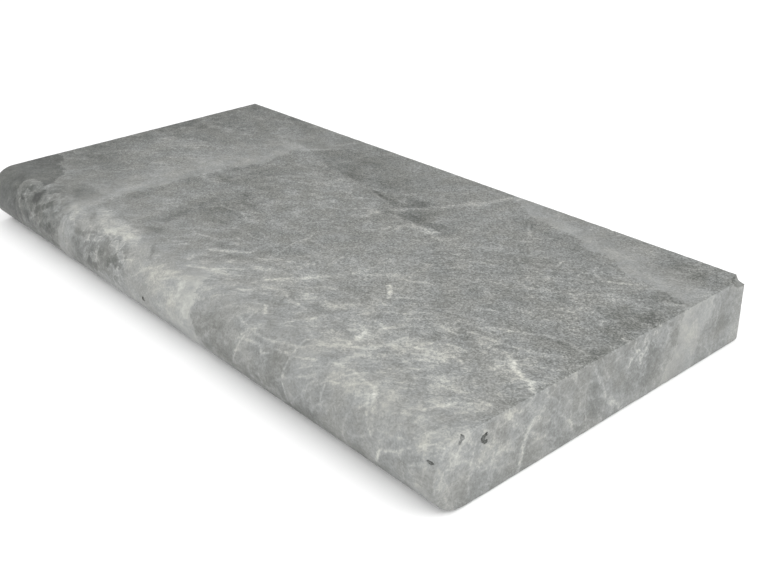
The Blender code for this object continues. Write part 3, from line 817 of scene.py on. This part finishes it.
class Sheet:
    """A node tree being laid out: each call adds a node, wires it up and returns its output."""

    def __init__(self, tree):
        self.nodes = tree.nodes
        self.links = tree.links

    def put(self, kind, inputs, output=0, **settings):
        """Add a node with these settings; an input is a socket to link or a value to set."""
        node = self.nodes.new(kind)
        for name, value in settings.items():
            setattr(node, name, value)
        for name, value in inputs.items():
            if isinstance(value, bpy.types.NodeSocket):
                self.links.new(value, node.inputs[name])
            else:
                node.inputs[name].default_value = value
        return node.outputs[output]

    def group(self, tree, inputs):
        """Place a node group and return all its outputs."""
        return self.put("ShaderNodeGroup", inputs, node_tree=tree).node.outputs

    def math(self, operation, first, second=0.0, third=0.0):
        return self.put("ShaderNodeMath", {0: first, 1: second, 2: third}, operation=operation)

    def add(self, level, amount, strength):
        """The level plus the amount times the strength."""
        return self.math("MULTIPLY_ADD", amount, strength, level)

    def centred(self, noise):
        """Noise from 0 to 1, shifted to lie round 0."""
        return self.math("SUBTRACT", noise, 0.5)

    def vector(self, operation, first, second, output="Vector"):
        """Vector maths, with the output Value for a dot product or a distance."""
        return self.put("ShaderNodeVectorMath", {0: first, 1: second}, output, operation=operation)

    def scale(self, vector, factor):
        inputs = {"Vector": vector, "Scale": factor}
        return self.put("ShaderNodeVectorMath", inputs, operation="SCALE")

    def span(self, value, low, high, to_low=0.0, to_high=1.0, smooth=True):
        """The value's way from low to high, eased or straight, as a way from to_low to to_high."""
        inputs = {"Value": value, "From Min": low, "From Max": high, "To Min": to_low, "To Max": to_high}
        kind = "SMOOTHSTEP" if smooth else "LINEAR"
        return self.put("ShaderNodeMapRange", inputs, interpolation_type=kind, clamp=not smooth)

    def noise(self, vector, size, detail=2.0, roughness=0.5, output=0):
        """Noise whose main features are `size` across, in the vector's units."""
        inputs = {"Vector": vector, "Scale": 1.0 / size, "Detail": detail, "Roughness": roughness}
        return self.put("ShaderNodeTexNoise", inputs, output)

    def wander(self, vector, *shifts):
        """The vector, shifted with noise of each size in turn by up to about its reach."""
        for size, reach in shifts:
            shift = self.vector("SUBTRACT", self.noise(vector, size, output="Color"), (0.5, 0.5, 0.5))
            vector = self.vector("ADD", vector, self.scale(shift, 2.0 * reach))
        return vector

    def bed(self, vector, draw):
        """The vector laid along the bedding's line, down its dip and across it, where a pattern is
        drawn out this far in each direction."""
        strike = math.radians(BEDDING_STRIKE)
        along = Vector((math.cos(strike), math.sin(strike), 0.0))
        across = along.cross(Vector(BEDDING_FALL)).normalized()
        turn = Matrix((along, across.cross(along), across)).transposed().to_euler()
        inputs = {"Vector": vector, "Rotation": turn, "Scale": draw}
        return self.put("ShaderNodeMapping", inputs, vector_type="TEXTURE")

    def ridge(self, noise, width, rise):
        """A line of this rise where a noise crosses its middle value, gone at this width from it."""
        return self.span(self.math("ABSOLUTE", self.centred(noise)), width, 0.0, 0.0, rise)

    def cell_grey(self, vector, size):
        """A grey from 0 to 1 for each of many cells of this size."""
        inputs = {"Vector": vector, "Scale": 1.0 / size}
        return self.put("ShaderNodeSeparateColor", {0: self.put("ShaderNodeTexVoronoi", inputs, "Color")})

    def fragments(self, vector, size, greys, joint, rise, noise, shows):
        """Fragments of differing grey in a web of pale joints, which shows where the noise is high.
        The joint's width is a share of the size."""
        grey = self.cell_grey(vector, size)
        inputs = {"Vector": vector, "Scale": 1.0 / size}
        web = self.put("ShaderNodeTexVoronoi", inputs, feature="DISTANCE_TO_EDGE")
        web = self.math("MULTIPLY", self.span(web, joint, 0.0, 0.0, rise), self.span(noise, *shows))
        return self.math("ADD", self.span(grey, 0.0, 1.0, *greys, smooth=False), web)


def new_group(name, vectors, floats, outputs):
    """Start a shader node group: its tree, its sheet, its input sockets and where its outputs go."""
    tree = bpy.data.node_groups.new(name, "ShaderNodeTree")
    for side, kind, labels in (
        ("INPUT", "NodeSocketVector", vectors),
        ("INPUT", "NodeSocketFloat", floats),
        ("OUTPUT", "NodeSocketFloat", outputs),
    ):
        for label in labels:
            tree.interface.new_socket(label, in_out=side, socket_type=kind)
    entry = tree.nodes.new("NodeGroupInput")
    leave = tree.nodes.new("NodeGroupOutput")
    return tree, Sheet(tree), entry.outputs, leave.inputs


def mark_group():
    """One straight run of a mark: its rise where the point is on the run, easing to 0 at the half
    width.

    The nearest point of the run is found from the share of the way along it, held between 0 and 1.
    The result is the larger of this and the level below it, so runs are chained.
    """
    floats = ("one_over_length_squared", "half_width", "rise", "below")
    tree, sheet, given, result = new_group("mark", ("point", "start", "run"), floats, ("level",))
    offset = sheet.vector("SUBTRACT", given["point"], given["start"])
    along = sheet.vector("DOT_PRODUCT", offset, given["run"], "Value")
    share = sheet.math("MULTIPLY", along, given["one_over_length_squared"])
    share = sheet.math("MAXIMUM", sheet.math("MINIMUM", share, 1.0), 0.0)
    away = sheet.vector("DISTANCE", offset, sheet.scale(given["run"], share), "Value")
    rise = sheet.span(away, given["half_width"], 0.0, 0.0, given["rise"])
    sheet.links.new(sheet.math("MAXIMUM", rise, given["below"]), result["level"])
    return tree


def draw_marks(sheet, mark, point, marks):
    """Chain a mark group for each straight run of each mark, and return the level."""
    level = 0.0
    for half_width, rise, *points in marks:
        for start, end in itertools.pairwise(points if len(points) > 1 else points * 2):
            run = (end[0] - start[0], end[1] - start[1], 0.0)
            length_squared = run[0] ** 2 + run[1] ** 2
            level = sheet.group(mark, {
                "point": point,
                "start": (*start, 0.0),
                "run": run,
                "one_over_length_squared": 1.0 / length_squared if length_squared else 0.0,
                "half_width": MARK_SPREAD * half_width,
                "rise": rise,
                "below": level,
            })["level"]
    return level


def marks_within(marks, boxes):
    """The marks that come within MARK_MARGIN of each of these boxes of the unrolled skin."""
    return [
        mark
        for (low_x, low_y), (high_x, high_y) in boxes
        for mark in marks
        if any(
            low_x - MARK_MARGIN < x < high_x + MARK_MARGIN
            and low_y - MARK_MARGIN < y < high_y + MARK_MARGIN
            for x, y in mark[2:]
        )
    ]


def finish_group():
    """Which finish a point of the skin has: 1 where the top is brushed, how far the grain stands out
    there, which grows from the nose to the middle of the top, and 1 where the back and the underside
    are left from the saw. The nose and the ends, where all are 0, are honed."""
    tree, sheet, given, result = new_group("finish", ("skin",), (), ("brushed", "grained", "sawn"))
    parts = sheet.put("ShaderNodeSeparateXYZ", {0: given["skin"]}).node.outputs
    x, y = parts["X"], parts["Y"]
    front = sheet.add(y, sheet.noise(given["skin"], 7.0), BRUSH_RAGGED)
    brushed = sheet.span(front, RADIUS_MM + BRUSH_FROM, RADIUS_MM + BRUSH_TO)
    for value, shut, full in (
        (y, WIDTH_MM + 0.3, WIDTH_MM - 0.2), (x, LENGTH_MM + 0.2, LENGTH_MM - 0.3), (x, -0.2, 0.3),
    ):
        brushed = sheet.math("MULTIPLY", brushed, sheet.span(value, shut, full))
    sheet.links.new(brushed, result["brushed"])
    grained = sheet.span(front, RADIUS_MM, RADIUS_MM + GRAIN_FULL, GRAIN_LEAST, 1.0)
    grained = sheet.math("MULTIPLY", brushed, grained)
    sheet.links.new(grained, result["grained"])
    below = (1.0 - math.pi) * RADIUS_MM
    sawn = sheet.math("ADD", sheet.span(y, WIDTH_MM, WIDTH_MM + 1.0), sheet.span(y, below, below - 1.0))
    sheet.links.new(sawn, result["sawn"])
    return tree


def stone_group():
    """The marble's grey level at a point, and its grain.

    To the broad tone come the contacts, clouds, drawn-out wisps, curled threads, rubble of healed
    fragments, seams, faint veins all through the block, the marks drawn one by one, and the grain,
    which shows more on the brushed top than on honed stone.
    """
    floats = [*PATCH_FIELDS, *itertools.chain(*CONTACT_FIELDS), "pale", "dark", "grained", "sawn"]
    tree, sheet, given, result = new_group("marble", ("solid",), floats, ("level", "grain"))
    solid = given["solid"]

    # A noise of many sizes mottles the patches of tone and makes the contacts ragged.
    broken = sheet.noise(solid, 12.0, detail=6.0, roughness=0.7)
    mottle = sheet.math("MULTIPLY", sheet.math("ABSOLUTE", given["tone"]), sheet.centred(broken))
    level = sheet.math("ADD", given["tone"], BASE_LEVEL)
    level = sheet.add(level, mottle, strength=3.2)
    paler = 0.0
    for contact, change in CONTACT_FIELDS:
        edge = sheet.add(given[contact], sheet.centred(broken), strength=22.0)
        change = sheet.math("MULTIPLY", sheet.span(edge, -0.9, 0.9), given[change])
        paler = sheet.math("MAXIMUM", paler, change)
        level = sheet.math("ADD", level, change)

    # The paler side of a contact is finer and more even stone.
    lively = sheet.add(1.0, paler, -0.028)

    # Clouds.
    cloud = sheet.noise(solid, 24.0, detail=6.0, roughness=0.72)
    level = sheet.add(level, sheet.centred(cloud), strength=40.0)

    # Wisps, drawn out along the bedding: pale strokes, dull hollows between them, and hairs.
    bedded = sheet.bed(sheet.wander(solid, (45.0, 11.0)), BEDDING_DRAW)
    stroke = sheet.noise(bedded, 5.0, detail=6.0, roughness=0.70)
    wisp = sheet.span(stroke, 0.47, 0.72, 0.0, 22.0)
    wisp = sheet.math("SUBTRACT", wisp, sheet.span(stroke, 0.48, 0.30, 0.0, 10.0))
    hair = sheet.noise(sheet.wander(bedded, (6.0, 1.4)), 8.0, detail=0.5)
    hair = sheet.ridge(hair, width=0.095, rise=34.0)
    wisp = sheet.math("ADD", wisp, sheet.math("MULTIPLY", hair, sheet.span(cloud, 0.40, 0.56)))
    strength = sheet.math("MULTIPLY", sheet.math("ADD", given["wisps"], 0.34), lively)
    level = sheet.add(level, wisp, strength)

    # Threads, as thin curled lines.
    curl = sheet.noise(sheet.wander(solid, (8.0, 3.0)), 6.5, detail=3.0, roughness=0.55)
    curl = sheet.ridge(curl, width=0.085, rise=24.0)
    curl = sheet.math("MULTIPLY", curl, sheet.span(stroke, 0.42, 0.60))
    level = sheet.add(level, curl, sheet.math("ADD", given["threads"], 0.12))

    # Rubble: small torn fragments in a paler web.
    torn = sheet.wander(solid, (14.0, 5.0), (5.0, 3.0), (2.2, 1.5))
    rubble = sheet.fragments(
        torn, 8.0, (-36.0, 8.0), joint=0.20, rise=30.0, noise=broken, shows=(0.34, 0.62)
    )
    level = sheet.add(level, rubble, given["rubble"])

    # Seams: pale healed joints round large fragments, which are drawn out along the bedding.
    split = sheet.bed(sheet.wander(solid, (26.0, 9.0), (5.0, 1.1)), SEAM_DRAW)
    seam = sheet.fragments(
        split, 15.0, (-7.0, 4.0), joint=0.075, rise=20.0, noise=broken, shows=(0.32, 0.56)
    )
    level = sheet.add(level, seam, given["seams"])

    # Faint veins all through the block, stronger on the faces that are left from the saw.
    vein = sheet.noise(sheet.wander(bedded, (16.0, 5.0)), 34.0, detail=2.0, roughness=0.4)
    level = sheet.add(level, sheet.ridge(vein, width=0.022, rise=13.0), sheet.add(0.3, given["sawn"], 0.7))

    # The marks drawn one by one, broken into flecks.
    fleck = sheet.noise(solid, 2.8, detail=4.0, roughness=0.7)
    fleck = sheet.span(fleck, 0.36, 0.62, 0.40, 1.75, smooth=False)
    level = sheet.add(level, given["pale"], fleck)
    level = sheet.math("SUBTRACT", level, given["dark"])

    # Grain: noise of a few sizes, and crystals of differing grey.
    grain = sheet.noise(solid, 2.4, detail=2.0, roughness=0.95)
    crystal = sheet.cell_grey(solid, 1.1)
    for speck, honed_swing, grained_swing in ((grain, 31.0, 31.0), (crystal, 22.0, 33.0)):
        swing = sheet.add(honed_swing, given["grained"], grained_swing)
        swing = sheet.math("MULTIPLY", swing, lively)
        level = sheet.add(level, sheet.centred(speck), swing)

    sheet.links.new(level, result["level"])
    sheet.links.new(grain, result["grain"])
    return tree


def linear(level):
    """An 8-bit colour value as the share of light that it stands for."""
    share = level / WHITE_LEVEL
    return share / 12.92 if share <= 0.04045 else ((share + 0.055) / 1.055) ** 2.4


def tinted_stone(sheet, level, tint):
    """The stone's colour: its grey level through the list of stone colours, then warmed or cooled."""
    share = sheet.math("MULTIPLY", level, 1.0 / WHITE_LEVEL)
    ramp = sheet.put("ShaderNodeValToRGB", {"Fac": share}).node
    stops = ramp.color_ramp.elements
    while len(stops) < len(STONE_COLOURS):
        stops.new(1.0)
    for stop, (position, colour) in zip(stops, STONE_COLOURS):
        stop.position = position / WHITE_LEVEL
        stop.color = (*(WHITE_SHARE * linear(channel) for channel in colour), 1.0)
    casts = {"Factor": sheet.span(tint, 0.38, 0.62), "A": (*WARM_CAST, 1.0), "B": (*COOL_CAST, 1.0)}
    cast = sheet.put("ShaderNodeMix", casts, "Result", data_type="RGBA")
    mixed = {"Factor": 1.0, "A": ramp.outputs["Color"], "B": cast}
    return sheet.put("ShaderNodeMix", mixed, "Result", data_type="RGBA", blend_type="MULTIPLY")


def marble_material(name, groups, pale, dark, shift=0.0, raw=0.0):
    """The marble, with its marks, and roughness and fine relief by finish.

    Stone that no tool has finished has a shift in its grey level, and is raw from 0 to 1.
    For the voids' insides the shift is dirt and painted shade.
    """
    stone, finish, mark = groups
    material = bpy.data.materials.new(name)
    material.use_nodes = True
    sheet = Sheet(material.node_tree)
    shader = material.node_tree.nodes["Principled BSDF"]

    skin = sheet.scale(sheet.put("ShaderNodeUVMap", {}, uv_map="skin"), MM)
    solid = sheet.scale(sheet.put("ShaderNodeTexCoord", {}, "Object"), MM)
    point = sheet.wander(skin, (8.0, 1.8), (2.2, 0.9))
    marks = {"pale": draw_marks(sheet, mark, point, pale), "dark": draw_marks(sheet, mark, point, dark)}
    finishes = sheet.group(finish, {"skin": skin})
    fields = {
        field: sheet.put("ShaderNodeAttribute", {}, "Fac", attribute_name=field)
        for field in (*PATCH_FIELDS, *itertools.chain(*CONTACT_FIELDS))
    }
    grained, sawn = finishes["grained"], finishes["sawn"]
    marble = sheet.group(stone, {"solid": solid, "grained": grained, "sawn": sawn, **fields, **marks})
    # Painted shade in part: the brushed top is darkened for its finish and for the light that falls less on
    # it than on the end.
    level = sheet.add(marble["level"], finishes["brushed"], TOP_FINISH_AND_SHADE_SHIFT)
    level = sheet.add(level, sawn, SAWN_SHIFT)
    if shift:
        level = sheet.math("ADD", level, shift)
    tint = sheet.noise(solid, 26.0, detail=4.0, roughness=0.6)
    sheet.links.new(tinted_stone(sheet, level, tint), shader.inputs["Base Color"])

    roughness = sheet.add(HONED_ROUGHNESS + RAW_ROUGHNESS * raw, grained, GRAINED_ROUGHNESS)
    roughness = sheet.add(roughness, sawn, SAWN_ROUGHNESS)
    roughness = sheet.add(roughness, sheet.centred(marble["grain"]), ROUGHNESS_SWING)
    sheet.links.new(roughness, shader.inputs["Roughness"])

    # Fine relief: the grain stands out on the top, and the saw leaves lines along the slab.
    lines = sheet.put("ShaderNodeMapping", {"Vector": solid, "Scale": SAW_LINES_SCALE})
    lines = sheet.noise(lines, 1.0, detail=1.0)
    depth = sheet.add(HONED_RELIEF_SHARE + raw, grained, GRAINED_RELIEF_SHARE)
    height = sheet.math("MULTIPLY", marble["grain"], depth)
    height = sheet.add(height, sheet.math("MULTIPLY", lines, sawn), SAW_LINES_SHARE)
    bump = sheet.put("ShaderNodeBump", {"Strength": 1.0, "Distance": RELIEF_DEPTH, "Height": height})
    sheet.links.new(bump, shader.inputs["Normal"])
    return material


def marble_materials():
    """The slab's finishes, in the order that SHEET_MATERIALS, BROKEN and VOID_DIRT_AND_SHADE number them."""
    groups = stone_group(), finish_group(), mark_group()
    top = (0.0, RADIUS_MM), (LENGTH_MM, WIDTH_MM)
    nose = (0.0, -2.2 * RADIUS_MM), (LENGTH_MM, RADIUS_MM)
    end = (LENGTH_MM, 0.0), (LENGTH_MM + THICKNESS_MM, WIDTH_MM)
    back = (0.0, WIDTH_MM), (LENGTH_MM, WIDTH_MM + THICKNESS_MM)
    materials = []
    for name, boxes in (("brushed", [top]), ("honed", [nose, end]), ("sawn", [back])):
        pale, dark = marks_within(PALE_MARKS, boxes), marks_within(DARK_MARKS, boxes)
        materials.append(marble_material(f"{name}_marble", groups, pale, dark))
    materials.append(marble_material("broken_marble", groups, [], [], BROKEN_SHIFT, 1.0))
    # The voids' insides: dirt and painted shade.
    materials.append(marble_material("void_dirt_and_shade", groups, [], [], VOID_DIRT_AND_SHADE_SHIFT, 1.0))
    return materials


def build_slab():
    """Make the worn slab, cut its hollows, paint it and put it on the frame in the CAD slab's place."""
    materials = marble_materials()
    slab = new_mesh("marble_slab", *slab_surface(), materials)
    cut_hollows(slab, cutters(materials[BROKEN], materials[VOID_DIRT_AND_SHADE]))
    paint_skin(slab)
    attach(slab, "root")
    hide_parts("slab")


def build_studio():
    """A pale floor, a white surround and soft lights above the front and the right."""
    white = bpy.data.materials.new("floor_white")
    white.use_nodes = True
    shader = white.node_tree.nodes["Principled BSDF"]
    shader.inputs["Base Color"].default_value = FLOOR_COLOUR
    shader.inputs["Roughness"].default_value = FLOOR_ROUGHNESS
    corners = np.array([(-1, -1), (1, -1), (1, 1), (-1, 1)]) * FLOOR_HALF
    corners = np.column_stack([corners, np.full(4, -FLOOR_DROP)])
    new_mesh("floor", corners, [[0, 1, 2, 3]], [white])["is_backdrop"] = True

    world = bpy.data.worlds.new("surround")
    world.use_nodes = True
    surround = world.node_tree.nodes["Background"]
    surround.inputs["Color"].default_value = (1.0, 1.0, 1.0, 1.0)
    surround.inputs["Strength"].default_value = SURROUND_STRENGTH
    bpy.context.scene.world = world

    for name, place, size, power in LIGHTS:
        lamp = bpy.data.lights.new(name, "AREA")
        lamp.shape = "SQUARE"
        lamp.size = size
        lamp.energy = power
        light = bpy.data.objects.new(name, lamp)
        light.location = place
        inward = Vector(-np.array(place) / np.linalg.norm(place))
        light.rotation_euler = inward.to_track_quat("-Z", "Y").to_euler()
        bpy.context.scene.collection.objects.link(light)


def build_camera():
    """Stand the camera where the photograph was taken from."""
    sin_yaw, cos_yaw = math.sin(CAMERA_YAW), math.cos(CAMERA_YAW)
    sin_pitch, cos_pitch = math.sin(CAMERA_PITCH), math.cos(CAMERA_PITCH)
    forward = np.array([sin_yaw * cos_pitch, cos_yaw * cos_pitch, -sin_pitch])
    level_right = np.array([cos_yaw, -sin_yaw, 0.0])
    level_up = np.cross(level_right, forward)
    right = level_right * math.cos(CAMERA_ROLL) + level_up * math.sin(CAMERA_ROLL)
    up = level_up * math.cos(CAMERA_ROLL) - level_right * math.sin(CAMERA_ROLL)
    turned = Matrix(np.stack([right, up, -forward], axis=1).tolist()).to_4x4()

    lens = bpy.data.cameras.new("camera")
    lens.sensor_width = SENSOR_WIDTH
    lens.lens = CAMERA_LENS
    lens.clip_start = CLIP_START
    camera = bpy.data.objects.new("camera", lens)
    camera.matrix_world = Matrix.Translation(CAMERA_PLACE) @ turned
    bpy.context.scene.collection.objects.link(camera)
    bpy.context.scene.camera = camera


build_camera()
build_slab()
build_studio()
bpy.context.scene.view_settings.view_transform = "Standard"

for box in (cad_box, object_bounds()):
    json.dumps([list(corner) for corner in box]) + "\n"
